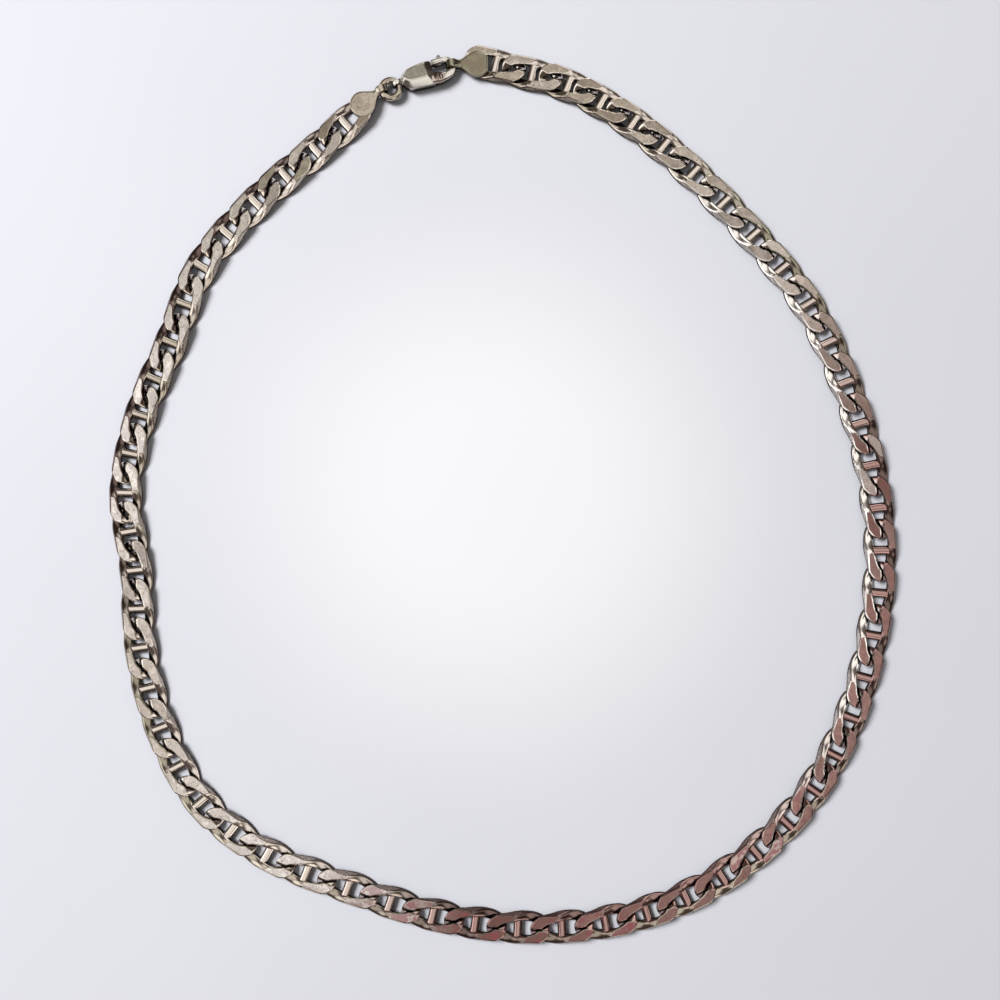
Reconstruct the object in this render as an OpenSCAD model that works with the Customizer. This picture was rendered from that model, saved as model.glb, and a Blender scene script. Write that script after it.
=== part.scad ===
// Flat mariner curb necklace with a lobster clasp, laid out in a loop on a flat surface.
// Origin: on that surface, at the middle of the loop. The clasp is at +Y, links rise from z = 0.

/* [Chain] */
// Length of one link, outside
link_l = 12.2; // [12.1:0.05:12.4]
// Width of one link, outside
link_w = 6.7; // [6.6:0.05:6.9]
// Thickness of the filed chain
chain_t = 2; // [1.9:0.05:2.2]
// Width of a link's wire where two links cross
arm_w = 1.8; // [1.6:0.05:1.85]
// Width of a link's wire beside its bar
side_w = 1.3; // [1.24:0.02:1.36]
// Width of a link's wire at its tips
tip_w = 1.26; // [1.2:0.02:1.3]
// Diameter of the crossbar
bar_d = 1.56; // [1.4:0.02:1.6]

/* [End tabs] */
// Diameter of the round end of a tab
tab_d = 4.9; // [4.5:0.1:5.2]
// Thickness of a tab
tab_t = 1.05; // [0.8:0.05:1.2]
// Hole through a tab's rolled eye
eye_bore = 1.65; // [1.65:0.05:1.7]
// Wall of a rolled eye
eye_wall = 0.5; // [0.4:0.05:0.55]

/* [Jump ring] */
// Diameter of the jump ring, outside
ring_d = 4.9; // [4.8:0.05:5]
// Wire of the jump ring
ring_wire = 1.15; // [1:0.05:1.15]

/* [Clasp] */
// Height of the clasp body
clasp_h = 3; // [2.8:0.1:3.2]
// Width of the clasp body
clasp_w = 4.3; // [4.1:0.1:4.5]
// Diameter of the lever's pin
pin_d = 0.7; // [0.6:0.05:0.8]
// Opening angle of the lever in this drawing
lever_open = 0; // [0:1:22]

/* [Hidden] */

// Where every second bar lies, clockwise from the clasp, and one more beyond the last link: x, y
BAR_STEP = 2;
BARS = [
    [-2, 87.5], [12.5, 83.5], [25.5, 76], [37.5, 66], [49.5, 53.5],
    [60.4, 39.7], [68, 24], [73, 7.5], [75, -9.5], [73.5, -26.5],
    [69, -43], [61.5, -57.5], [50, -70], [36, -79], [20, -84],
    [2.5, -85], [-14.5, -82.5], [-31.5, -77], [-47.7, -70.4], [-61, -59.8],
    [-69, -45], [-73, -29], [-74, -13.5], [-76, 2], [-73, 17.5],
    [-67, 32], [-60.8, 47.2], [-50, 60], [-38, 70.5], [-26, 81],
];
LAST_LINK = BAR_STEP * (len(BARS) - 1) - 1;
MIDDLE_LINK = floor(LAST_LINK / 2);

// Link section: the wire steps between an upper and a lower level, so that neighbours pass
mid_z = chain_t / 2;
arm_z = 0.55 * mid_z;
arm_half_t = mid_z - arm_z;
tip_half_t = 0.46;
side_half_t = 0.78;
foot_share = 0.5;
corner_rise = 0.55;
arm_lean = 0.12;
stations = 16;
section_sides = 6;

// Middle of the laid-out loop, brought to the origin
loop_middle = [-0.52, 1.52];

// Ring and eyes share one centre height, and the ring hangs a little lower in the eyes
eye_d = eye_bore + 2 * eye_wall;
ring_z = 1.5;
ring_drop = 0.06;
ring_r = (ring_d - ring_wire) / 2;
ring_at = [-22.95, 82.5];
left_eye_angle = 194;
left_eye_w = 0.9;
left_eye_turn = 6;
left_disc_at = [-28.5, 79.35];
right_disc_at = [-5.7, 87.4];
right_eye_w = 1;

// Tab plate: underside, bevel of its edge, and where its waist lies along the neck
tab_z = 1.08;
tab_edge = 0.25;
waist_share = 0.62;

// Clasp frame: x runs from the tail eye to the hook, y to the outside of the loop
clasp_at = [-15.57, 85.37];
clasp_turn = 14;
tail_at = [-6.14, -0.3];
tail_turn = 16;
tail_w = 0.8;
tail_neck = [1.6, 1, 1.4];
tail_neck_at = [-5.31, -0.65, 0.8];
tail_root_x = -5;
shoulder_x = -3.9;
body_front_x = 0.75;
body_bevel = 0.5;

// Hook: the eye rides at hook_seat, and the nose ends in a slant that meets the lever
hook_seat = [5.35, 0.35];
hook_seat_w = 0.9;
hook_seat_h = 1.06;
hook_root_r = 2.1;
hook_root_z = [0.3, 2.7];
hook_belly_x = 2.6;
hook_belly_r = 2.4;
hook_front_r = 1.1;
room_x = [1.1, hook_seat.x - hook_seat_w / 2];
room_y = [-1.15, 1.75];
room_r = 0.7;
gate_x = body_front_x + 0.12;
nose_end = [[4.1, 1], [3.74, 2.5], [3.7, 3.5]];

// Lever: root disc in the body's slot, gate bar and pointed nub
pivot = [-0.4, 1];
slot_z = [1, 2.1];
slot_r = 1.15;
slot_mouth = [[0, 0], [-0.3, 1.1], [0.2, 2], [2.4, 2.5], [2.8, -1.2], [-0.5, -0.9]];
lever_root_r = 0.95;
lever_root_z = [1.08, 2.02];
lever_arm_z = [0.6, 2.45];
lever_in_y = 1.75;
lever_out_y = 2.4;
lever_neck_x = 1.6;
lever_heel_x = [1.15, 1.05];
lever_tip_x = [3.72, 3.62];
nub_x = [1.8, 2.85, 3.1, 3.5];
nub_y = 3.2;
running_gap = 0.04;
pin_cover = 0.5;
pin_play = 0.02;

// Facets of round shapes, and of those inside a hull
round_fn = 48;
hull_fn = 32;

// Blend weights of the smooth curve through the waypoints
function blend(a, b, c, d, t) =
    0.5 * (2 * b + (c - a) * t + (2 * a - 5 * b + 4 * c - d) * t * t + (3 * b - a - 3 * c + d) * t * t * t);

// Waypoint k, with one more beyond each end of the string
function waypoint(k) =
    k < 0 ? 2 * BARS[0] - BARS[1] :
    k >= len(BARS) ? 2 * BARS[len(BARS) - 1] - BARS[len(BARS) - 2] :
    BARS[k];

// Middle of the bar of link n, which may be a fraction
function bar_at(n) =
    let (k = min(floor(n / BAR_STEP), len(BARS) - 2))
    blend(waypoint(k - 1), waypoint(k), waypoint(k + 1), waypoint(k + 2), n / BAR_STEP - k);

// Direction of the chain at link n
function heading(n) =
    let (step = bar_at(min(n + 0.5, LAST_LINK)) - bar_at(max(n - 0.5, 0)))
    atan2(step.y, step.x);

// Everything is drawn where it lies in the loop, then the loop's middle goes to the origin
module placed() {
    translate([-loop_middle.x, -loop_middle.y, 0]) children();
}

module in_clasp_frame() {
    placed() translate(clasp_at) rotate(clasp_turn) children();
}

function turned(p, a) = [p.x * cos(a) - p.y * sin(a), p.x * sin(a) + p.y * cos(a)];

// Share between side and tip, and between those and the arm, at angle t round a link
function wire_share(side, tip, arm, t) =
    let (rest = tip * pow(cos(t), 2) + side * pow(sin(t), 2), arm_part = abs(sin(2 * t)))
    rest * (1 - arm_part) + arm * arm_part * (1 + arm_lean * pow(cos(t), 2));

// Points of one section of the wire, from the inside of the link round underneath; its outer edge is on an ellipse
function section_points(t) =
    let (level = -sign(round(1000 * sin(2 * t))))
    let (half_w = wire_share(side_w, tip_w, arm_w, t) / 2)
    let (half_t = level == 0 ? wire_share(side_half_t, tip_half_t, 0, t) : arm_half_t)
    let (rim = [link_l / 2 * cos(t), link_w / 2 * sin(t)])
    let (out = [cos(t) / link_l, sin(t) / link_w])
    let (dir = out / norm(out))
    let (mid = rim - dir * half_w)
    let (top = (1 + foot_share) / 2 + level * (1 - foot_share) / 2)
    let (foot = (1 + foot_share) / 2 - level * (1 - foot_share) / 2)
    let (corner = corner_rise * level)
    let (section = [[-1, corner], [-foot, -1], [foot, -1], [1, corner], [top, 1], [-top, 1]])
    [for (p = section) [mid.x + dir.x * half_w * p[0], mid.y + dir.y * half_w * p[0],
                        mid_z + level * arm_z + half_t * p[1]]];

// Twisted ring of one link
module link_ring() {
    n = section_sides;
    count = stations * n;
    polyhedron(
        points = [for (i = [0 : stations - 1]) each section_points(360 * i / stations)],
        faces = [for (i = [0 : stations - 1]) for (q = [0 : n - 1])
            let (a = i * n + q, b = i * n + (q + 1) % n)
            each [[a, b, (b + n) % count], [a, (b + n) % count, (a + n) % count]]]);
}

// One link with its crossbar
module chain_link() {
    link_ring();
    translate([0, 0, mid_z]) rotate([90, 30, 0]) cylinder(d = bar_d, h = link_w - side_w, center = true, $fn = 6);
}

module link_number(n) {
    translate(bar_at(n)) rotate(heading(n)) chain_link();
}

module chain_right() {
    color("silver") placed() for (n = [1 : MIDDLE_LINK]) link_number(n);
}

module chain_left() {
    color("lightgray") placed() for (n = [MIDDLE_LINK + 1 : LAST_LINK - 1]) link_number(n);
}

// Rolled eye: a short tube standing on edge, its bore across the direction of pull
module eye_tube(w) {
    translate([0, 0, ring_z]) rotate([90, 0, 0]) cylinder(d = eye_d, h = w, center = true, $fn = round_fn);
}

module eye_hole(w) {
    translate([0, 0, ring_z]) rotate([90, 0, 0]) cylinder(d = eye_bore, h = 3 * w, center = true, $fn = round_fn);
}

// Teardrop plate from a round end at the origin to a neck at distance l along -X
module teardrop(l, neck_w) {
    r = tab_d / 2;
    translate([0, 0, tab_z]) cylinder(r = r, h = tab_t - tab_edge, $fn = round_fn);
    translate([0, 0, tab_z + tab_t - tab_edge]) cylinder(r1 = r, r2 = r - tab_edge, h = tab_edge, $fn = round_fn);
    translate([0, 0, tab_z]) linear_extrude(tab_t - tab_edge / 2)
        polygon([[0, -0.97 * r], [-0.45 * r, -0.9 * r], [-waist_share * l, -waist_share * neck_w],
                 [-l, -neck_w / 2], [-l, neck_w / 2], [-waist_share * l, waist_share * neck_w],
                 [-0.45 * r, 0.9 * r], [0, 0.97 * r]]);
}

// End link: a chain link, its teardrop tab and the tab's rolled eye as one soldered piece
module end_link(n, disc_at, eye_at, eye_turn, eye_w) {
    pull = disc_at - eye_at;
    neck_l = norm(pull);
    difference() {
        union() {
            link_number(n);
            translate(disc_at) rotate(atan2(pull.y, pull.x)) teardrop(neck_l, eye_w);
            translate(eye_at) rotate(eye_turn) eye_tube(eye_w);
        }
        translate(eye_at) rotate(eye_turn) eye_hole(eye_w);
    }
}

module end_link_right() {
    eye_at = clasp_at + turned(hook_seat, clasp_turn);
    color("gainsboro") placed() end_link(0, right_disc_at, eye_at, clasp_turn / 2, right_eye_w);
}

module end_link_left() {
    eye_at = ring_at + ring_r * [cos(left_eye_angle), sin(left_eye_angle)];
    eye_turn = left_eye_angle - 180 + left_eye_turn;
    color("gainsboro") placed() end_link(LAST_LINK, left_disc_at, eye_at, eye_turn, left_eye_w);
}

module jump_ring() {
    color("silver") placed() translate([ring_at.x, ring_at.y, ring_z - ring_drop])
        rotate_extrude($fn = round_fn) translate([ring_r, 0]) circle(d = ring_wire, $fn = 24);
}

// Flat outline of the clasp body, wider or narrower by grow on every side
module body_outline(grow) {
    w = clasp_w / 2 + grow;
    polygon([[tail_root_x - grow, 0.55 + grow], [shoulder_x, w - 0.3], [-1.5, w], [body_front_x, w + 0.1],
             [body_front_x, -w], [shoulder_x, -w], [tail_root_x - grow, -0.75 - grow]]);
}

// Gem-cut block of the clasp: a straight girdle between bevelled faces
module body_block() {
    hull() {
        translate([0, 0, body_bevel]) linear_extrude(clasp_h - 3 * body_bevel) body_outline(0);
        linear_extrude(clasp_h) body_outline(-body_bevel);
    }
}

// Fixed hook: tall where it leaves the body, thin where the eye rides on it
module hook_block() {
    seat_low = ring_z - hook_seat_h / 2;
    hull() {
        translate([body_front_x - 0.5, -0.05, hook_root_z[0]])
            cylinder(r = hook_root_r, h = hook_root_z[1] - hook_root_z[0], $fn = hull_fn);
        translate([hook_belly_x, -0.1, seat_low]) cylinder(r = hook_belly_r, h = hook_seat_h, $fn = hull_fn);
        for (side = [0.35, -0.65])
            translate([hook_seat.x - hook_front_r, hook_seat.y + side, seat_low])
                cylinder(r = hook_front_r + hook_seat_w / 2, h = hook_seat_h, $fn = hull_fn);
    }
}

// Room inside the hook, with rounded corners
module hook_room() {
    size = [room_x[1] - room_x[0], room_y[1] - room_y[0]];
    translate([0, 0, -1]) linear_extrude(clasp_h + 2) union() {
        translate([room_x[0], room_y[0] + room_r]) square(size - [0, 2 * room_r]);
        translate([room_x[0] + room_r, room_y[0]]) square(size - [2 * room_r, 0]);
        for (x = [room_x[0] + room_r, room_x[1] - room_r]) for (y = [room_y[0] + room_r, room_y[1] - room_r])
            translate([x, y]) circle(r = room_r, $fn = round_fn);
    }
}

// Room that the lever needs on the outer side, up to the slanted end of the nose
module gate_room() {
    low = nose_end[0].y;
    high = nose_end[2].y;
    translate([0, 0, -1]) linear_extrude(clasp_h + 2)
        polygon([[gate_x, low], each nose_end, [gate_x, high]]);
}

// Flats above and below the front of the hook, where the tab's eye rides
module eye_seat() {
    from = [hook_seat.x - hook_seat_w / 2 - 0.3, -clasp_w, ring_z];
    for (side = [-1, 1])
        translate(from + [0, 0, side * (hook_seat_h / 2 + clasp_h / 2) - clasp_h / 2])
            cube([clasp_w, 2 * clasp_w, clasp_h]);
}

// Slot in the body in which the lever's root turns
module lever_slot() {
    translate([0, 0, slot_z[0]]) linear_extrude(slot_z[1] - slot_z[0]) union() {
        translate(pivot) circle(r = slot_r, $fn = round_fn);
        polygon([for (p = slot_mouth) pivot + p]);
    }
}

module clasp_body() {
    color("darkgray") in_clasp_frame() difference() {
        union() {
            body_block();
            difference() {
                hook_block();
                hook_room();
                gate_room();
                eye_seat();
            }
            translate(tail_at) rotate(tail_turn) eye_tube(tail_w);
            translate(tail_neck_at) cube(tail_neck);
        }
        translate(tail_at) rotate(tail_turn) eye_hole(tail_w);
        lever_slot();
        translate([pivot.x, pivot.y, -1]) cylinder(d = pin_d, h = clasp_h - pin_cover + 1, $fn = round_fn);
    }
}

module clasp_pin() {
    color("dimgray") in_clasp_frame() translate([pivot.x, pivot.y, pin_play])
        cylinder(d = pin_d, h = clasp_h - pin_cover - pin_play, $fn = round_fn);
}

// Layer of the lever between two heights
module lever_layer(z) {
    translate([0, 0, z[0]]) linear_extrude(z[1] - z[0]) children();
}

// Lever: a root disc on the pin, a gate bar and a pointed nub for the thumb
module lever_shape() {
    difference() {
        union() {
            lever_layer(lever_root_z) union() {
                translate(pivot) circle(r = lever_root_r, $fn = round_fn);
                polygon([pivot + [0.3, -0.85], [lever_neck_x, lever_in_y], [lever_neck_x, lever_out_y],
                         pivot + [0, 0.9]]);
            }
            lever_layer(lever_arm_z)
                polygon([[lever_heel_x[0], lever_in_y - 0.12], [lever_tip_x[0], lever_in_y],
                         [lever_tip_x[1], lever_out_y], [lever_heel_x[1], lever_out_y]]);
            lever_layer(lever_root_z)
                polygon([[nub_x[0], lever_out_y - 0.1], [nub_x[3], lever_out_y - 0.1],
                         [nub_x[2], nub_y], [nub_x[1], nub_y]]);
        }
        translate([pivot.x, pivot.y, 0]) cylinder(d = pin_d + 2 * running_gap, h = clasp_h, $fn = round_fn);
    }
}

module clasp_lever() {
    color("silver") in_clasp_frame()
        translate(pivot) rotate(-lever_open) translate(-pivot) lever_shape();
}

end_link_right();
chain_right();
chain_left();
end_link_left();
jump_ring();
clasp_body();
clasp_pin();
clasp_lever();
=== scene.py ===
"""Looks of a flat mariner chain necklace that lies in a loop, with tabs, a jump ring and a lobster clasp.

Shapes are built in millimetres in the part's frame and turned into metres when they become objects.
"""
import math
import random

import bmesh
import bpy
from mathutils import Matrix, Vector


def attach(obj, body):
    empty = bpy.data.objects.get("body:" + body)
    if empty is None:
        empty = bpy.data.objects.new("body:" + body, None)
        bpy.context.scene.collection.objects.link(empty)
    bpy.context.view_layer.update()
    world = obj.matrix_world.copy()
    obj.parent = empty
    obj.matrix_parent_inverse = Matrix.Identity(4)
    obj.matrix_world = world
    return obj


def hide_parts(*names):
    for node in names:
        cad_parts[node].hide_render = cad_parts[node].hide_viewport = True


MM = 0.001

# The string of links: every second bar clockwise from the clasp and one more beyond the last link,
# before the loop's middle goes to the origin
BAR_STEP = 2
BARS = [
    (-2, 87.5), (12.5, 83.5), (25.5, 76), (37.5, 66), (49.5, 53.5),
    (60.4, 39.7), (68, 24), (73, 7.5), (75, -9.5), (73.5, -26.5),
    (69, -43), (61.5, -57.5), (50, -70), (36, -79), (20, -84),
    (2.5, -85), (-14.5, -82.5), (-31.5, -77), (-47.7, -70.4), (-61, -59.8),
    (-69, -45), (-73, -29), (-74, -13.5), (-76, 2), (-73, 17.5),
    (-67, 32), (-60.8, 47.2), (-50, 60), (-38, 70.5), (-26, 81),
]
LAST_LINK = BAR_STEP * (len(BARS) - 1) - 1
MIDDLE_LINK = LAST_LINK // 2
EVEN_PITCH = 8.4
LOOP_MIDDLE = Vector((-0.52, 1.52, 0.0))

# One link: outside size, wire width from the tip (0) round to the bar (90 degrees)
LINK_L = 12.5
LINK_W = 6.7
CHAIN_T = 2.0
WIRE_WIDTHS = [(0, 1.85), (12, 1.95), (24, 2.08), (36, 2.15), (48, 2.1), (62, 2.06), (76, 2.04), (90, 2.04)]
SIDE_W = 2.04
BAR_W = 1.78
BAR_Z = 0.8
BAR_HALF_T = 0.72
BAR_LOWEST_Z = 0.12
BAR_FLARE = [(-1.0, 1.3), (-0.85, 1.16), (-0.7, 1.06), (-0.5, 1.0), (0.5, 1.0), (0.7, 1.06), (0.85, 1.16), (1.0, 1.3)]
MID_Z = CHAIN_T / 2
ARM_RISE = 0.69
ARM_HALF_T = 0.59
SIDE_HALF_T = 0.8
TIP_HALF_T = 0.6
RISE_X = 3.0
FULL_UP_Y = 1.3
FULL_DOWN_Y = -1.6
UPPER_POWER = 2.25
LOWER_POWER = 2.45
SIDE_POWER = 2.3
ARM_POWER = 2.45
TIP_POWER = 3.2
STATIONS = 112
SECTION_SIDES = 28
ROD_SIDES = 24

# Filed faces of a link: flats on top, slanted facets along both edges, each with a worn rim, painted bright as rubbed
# metal and a highlight
FACET_Y = 2.62
FACET_SLOPE = 1.6
FOOT_Y = 2.95
FOOT_SLOPE = 0.7
FLAT_Z = 1.97
FLAT_AT = (4.2, 1.5)
FLAT_ROLL = math.radians(1.5)
FLAT_SCATTER = math.radians(2.6)
RIM_DROP = 0.08
RIM_W = 0.15
FILM_INSET = 0.23
PLATE_INSET = 0.22
LOWEST_FILM = 0.9
LOOKS_UP = 0.2
SMALLEST_FACE = 0.12

# Tarnish and painted shade from none (0) to black (1) on the walls round a link's openings and on its outer walls, and
# painted shade low down
INNER_WALL_TARNISH_AND_SHADE = 0.85
OUTER_WALL_TARNISH_AND_SHADE = 0.86
LOW_PAINTED_SHADE = 0.35
TIP_TONE_X = (5.1, 5.7)

# Clasp frame: x runs from the tail eye to the hook, y to the outside of the loop
CLASP_AT = Vector((-15.57, 85.37, 0.0))
CLASP_TURN = math.radians(14)
EYE_Z = 1.5
EYE_OUT_R = 1.27
EYE_IN_R = 0.9
EYE_SLIT = math.radians(14)
EYE_STATIONS = 56
EYE_EASE = 0.12
PIVOT = Vector((-0.4, 1.0))
PIN_R = 0.35
PIN_TOP = 2.5
BODY_FOOT = 0.03
SLOT_Z = (1.0, 2.1)
BODY_GIRDLE = [(-5.4, -0.75), (-4.0, -2.2), (1.0, -2.4), (1.1, 2.4), (-1.5, 2.25), (-4.0, 1.75), (-5.4, 0.6)]
BODY_NOTCHED = [
    (-5.4, -0.75), (-4.0, -2.2), (1.0, -2.4), (1.05, -0.15), (-0.4, -0.15), (-1.1, 0.15), (-1.52, 0.75),
    (-1.5, 2.2), (-4.0, 1.7), (-5.4, 0.6),
]
BODY_TOP = [(-4.75, -0.35), (-3.7, -1.0), (0.0, -0.95), (-0.15, 2.0), (-1.4, 1.95), (-3.7, 1.45), (-4.75, 0.4)]
BODY_LOW_Z = 0.35
BODY_HIGH_Z = 2.32
CROWN_Z = 3.0
GIRDLE_ROUND = 0.7
CROWN_ROUND = 0.5
BODY_BEVEL = 0.11

# Bent rods of the clasp, as stops of x, y, width, underside and top; ridges as place along the hook and swelling
HOOK_STOPS = [
    (0.3, -1.25, 2.0, 0.3, 2.45), (1.2, -1.25, 2.2, 0.3, 2.6), (2.4, -1.32, 2.05, 0.45, 2.45),
    (3.6, -1.16, 1.78, 0.65, 2.25), (4.45, -0.78, 1.75, 0.85, 2.15), (5.22, -0.2, 1.2, 0.95, 2.05),
    (5.36, 0.75, 0.96, 0.97, 2.03), (5.02, 1.46, 1.0, 0.92, 2.1), (4.4, 1.86, 1.2, 0.75, 2.3),
    (3.79, 1.96, 1.2, 0.7, 2.4),
]
HOOK_RIDGES = [(1.12, 0.1), (1.47, 0.11), (1.82, 0.11), (2.17, 0.1)]
RIDGE_REACH = 0.09
TAIL_STOPS = [(-5.75, -0.18, 0.8, 0.9, 2.1), (-5.2, -0.12, 0.95, 0.8, 2.2), (-4.6, -0.1, 1.1, 0.7, 2.3)]
TAIL_AT = (-6.14, -0.3)
TAIL_TURN = math.radians(16)
TAIL_W = 0.8
LEVER_ROOT_R = 0.95
LEVER_ROOT_Z = (1.08, 2.02)
LEVER_NECK = [(-0.1, 0.15), (1.6, 1.75), (1.6, 2.38), (-0.4, 1.92)]
LEVER_BAR = [(1.3, 1.86, 1.15, 0.66, 2.4), (2.2, 1.92, 1.1, 0.62, 2.45), (3.68, 1.98, 1.0, 0.62, 2.43)]
LEVER_LIP = [
    (1.4, 1.6, 0.3, 0.7, 1.5), (1.9, 1.52, 0.5, 0.62, 1.55), (3.1, 1.56, 0.5, 0.62, 1.55),
    (3.62, 1.68, 0.3, 0.7, 1.5),
]
LEVER_NUB = [(1.9, 2.2), (3.5, 2.2), (3.15, 3.18), (2.8, 3.18)]

# Tabs: a disc, a neck and a rolled eye each
TAB_R = 2.52
NECK_HALF_W = 0.74
TAB_Z = 1.08
TAB_T = 1.05
RIGHT_DISC_AT = Vector((-5.7, 87.4))
LEFT_DISC_AT = Vector((-28.5, 79.35))
HOOK_SEAT = Vector((5.2, 0.8))
RIGHT_EYE_W = 1.5
LEFT_EYE_W = 1.3
RIGHT_BLUNT = 2.2
LEFT_BLUNT = 3.0
LEFT_EYE_TURN = math.radians(20)
LEFT_EYE_ANGLE = math.radians(185)
EYE_RAMP = [(0.25, 2.47, 2.74), (0.7, 2.2, 2.6), (1.2, 1.2, 2.36), (2.0, 1.12, 2.1)]
TAB_STATIONS = 56
TAB_SHOULDER = -0.45
FLANK_STEPS = 12
NECK_BEND = 0.28

# Jump ring
RING_AT = Vector((-22.95, 82.5, 1.44))
RING_R = 1.76
RING_WIRE = 1.36
RING_SEAM = 0.018
RING_SEAM_AT = math.radians(186)
RING_STATIONS = 72

# Camera over the middle of the loop
CAMERA_AT = Vector((-0.58, -1.0, 201.0))
CAMERA_LENS = 36.0
SENSOR = 36.0


def blend(a, b, c, d, t):
    """Smooth curve through b and c, with a and d as their neighbours."""
    return 0.5 * (2 * b + (c - a) * t + (2 * a - 5 * b + 4 * c - d) * t * t + (3 * b - a - 3 * c + d) * t ** 3)


def waypoint(k):
    """Waypoint k, with one more beyond each end of the string."""
    first, second = Vector(BARS[0]), Vector(BARS[1])
    last, before = Vector(BARS[-1]), Vector(BARS[-2])
    if k < 0:
        return 2 * first - second
    if k >= len(BARS):
        return 2 * last - before
    return Vector(BARS[k])


def bar_at(n):
    """Middle of the bar of link n, which may be a fraction."""
    k = min(int(n // BAR_STEP), len(BARS) - 2)
    return blend(waypoint(k - 1), waypoint(k), waypoint(k + 1), waypoint(k + 2), n / BAR_STEP - k)


def heading(n):
    """Direction of the chain at link n, in radians."""
    step = bar_at(min(n + 0.5, LAST_LINK)) - bar_at(max(n - 0.5, 0))
    return math.atan2(step.y, step.x)


def pitch_at(n):
    """Distance from bar to bar near link n."""
    after, before = min(n + 1, LAST_LINK), max(n - 1, 0)
    return (bar_at(after) - bar_at(before)).length / (after - before)


def link_place(n):
    """Matrix that puts a link drawn at the origin where link n lies."""
    at = bar_at(n).to_3d() - LOOP_MIDDLE
    return Matrix.Translation(at) @ Matrix.Rotation(heading(n), 4, "Z")


def power_of(v, e):
    """Power of the size of v, with the sign of v."""
    return math.copysign(abs(v) ** e, v)


def wire_width(t):
    """Width of the wire at angle t round a link."""
    folded = math.degrees(math.asin(min(1.0, abs(math.sin(t)))))
    for (a, wa), (b, wb) in zip(WIRE_WIDTHS, WIRE_WIDTHS[1:]):
        if folded <= b:
            share = (folded - a) / (b - a)
            share = share * share * (3 - 2 * share) * 0.5 + share * 0.5
            return wa + (wb - wa) * share
    return WIRE_WIDTHS[-1][1]


def ramp(u):
    """Rises from 0 to 1 like a quarter of a wave, then stays."""
    return math.sin(math.pi / 2 * min(1.0, abs(u)))


def ring_section(t, grow):
    """One section of a link's wire at angle t. The outline is blunter where the wire runs at its lower level."""
    long, wide = LINK_L / 2, LINK_W / 2
    upper = math.sin(2 * t) < 0
    e = 2 / (UPPER_POWER if upper else LOWER_POWER)
    rim = Vector((long * power_of(math.cos(t), e), wide * power_of(math.sin(t), e)))
    out = Vector((power_of(math.cos(t), 2 - e) / long, power_of(math.sin(t), 2 - e) / wide)).normalized()
    half_w = wire_width(t) * (1 + grow * abs(math.sin(2 * t))) / 2
    mid = rim - out * half_w
    high_y = -math.copysign(rim.y, rim.x * rim.y)
    along = min(1.0, max(-1.0, (2 * high_y - FULL_UP_Y - FULL_DOWN_Y) / (FULL_UP_Y - FULL_DOWN_Y)))
    level = math.sin(math.pi / 2 * along) * ramp(mid.x / RISE_X)
    rest_t = TIP_HALF_T * math.cos(t) ** 2 + SIDE_HALF_T * math.sin(t) ** 2
    half_t = rest_t + (ARM_HALF_T - rest_t) * abs(level)
    middle_z = MID_Z + ARM_RISE * level
    rest_power = TIP_POWER * math.cos(t) ** 2 + SIDE_POWER * math.sin(t) ** 2
    power = rest_power + (ARM_POWER - rest_power) * abs(level)
    points = []
    for i in range(SECTION_SIDES):
        a = 2 * math.pi * i / SECTION_SIDES
        across = half_w * power_of(math.cos(a), 2 / power)
        up = half_t * power_of(math.sin(a), 2 / power)
        points.append(Vector((mid.x + out.x * across, mid.y + out.y * across, middle_z + up)))
    return points


def loft(bm, sections, closed=False):
    """Skins sections that have as many points each; open lofts get end caps. Returns the rows of faces."""
    rows = [[bm.verts.new(p) for p in section] for section in sections]
    count = len(rows[0])
    pairs = list(zip(rows, rows[1:] + rows[:1])) if closed else list(zip(rows, rows[1:]))
    made = []
    for a, b in pairs:
        made.append([bm.faces.new((a[q], b[q], b[(q + 1) % count], a[(q + 1) % count])) for q in range(count)])
    if not closed:
        bm.faces.new(rows[0])
        bm.faces.new(list(reversed(rows[-1])))
    return made


def cut(bm, point, normal, half, number):
    """Files away what lies beyond a plane on one half of a link and closes the wound with a marked face.

    The parts go in by a fixed order, not as a set, so that every run cuts alike.
    """
    filed = bm.faces.layers.int["filed"]
    faces = [f for f in bm.faces if f[half] == number]
    parts = list(dict.fromkeys(part for f in faces for part in (f, *f.edges, *f.verts)))
    result = bmesh.ops.bisect_plane(bm, geom=parts, plane_co=point, plane_no=normal, clear_outer=True)
    rim = [e for e in result["geom_cut"] if isinstance(e, bmesh.types.BMEdge) and e.is_boundary]
    for f in bmesh.ops.holes_fill(bm, edges=rim, sides=0)["faces"]:
        f[half] = number
        f[filed] = 1


def file_link(bm, rng):
    """Cuts the flats and edge facets of one link, above and below."""
    half = bm.faces.layers.int["half"]
    slope = Vector((0, FACET_SLOPE, 1)).normalized()
    for number, side in ((1, 1), (2, -1)):
        roll = side * FLAT_ROLL + rng.uniform(-FLAT_SCATTER, FLAT_SCATTER)
        pitch = rng.uniform(-FLAT_SCATTER, FLAT_SCATTER)
        flat_no = Vector((math.sin(pitch), math.sin(roll), 1)).normalized()
        flat_at = Vector((-side * FLAT_AT[0], side * FLAT_AT[1], FLAT_Z))
        facet_no = Vector((slope.x, side * slope.y, slope.z))
        foot_no = Vector((0, side, -FOOT_SLOPE)).normalized()
        cut(bm, Vector((0, side * FACET_Y, CHAIN_T)), facet_no, half, number)
        cut(bm, flat_at, flat_no, half, number)
        cut(bm, Vector((0, side * FOOT_Y, 0)), foot_no, half, number)
        cut(bm, Vector((0, 0, 0)), Vector((0, 0, -1)), half, number)


def spine_of(points):
    """Ends of the segment that runs along the middle of a flat, long outline."""
    first, last = max(((p, q) for p in points for q in points), key=lambda pair: (pair[0] - pair[1]).length_squared)
    along = (last - first).normalized()
    reach = max(((p - first) - along * (p - first).dot(along)).length for p in points)
    reach = min(reach, (last - first).length * 0.45)
    return first + along * reach, last - along * reach


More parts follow.
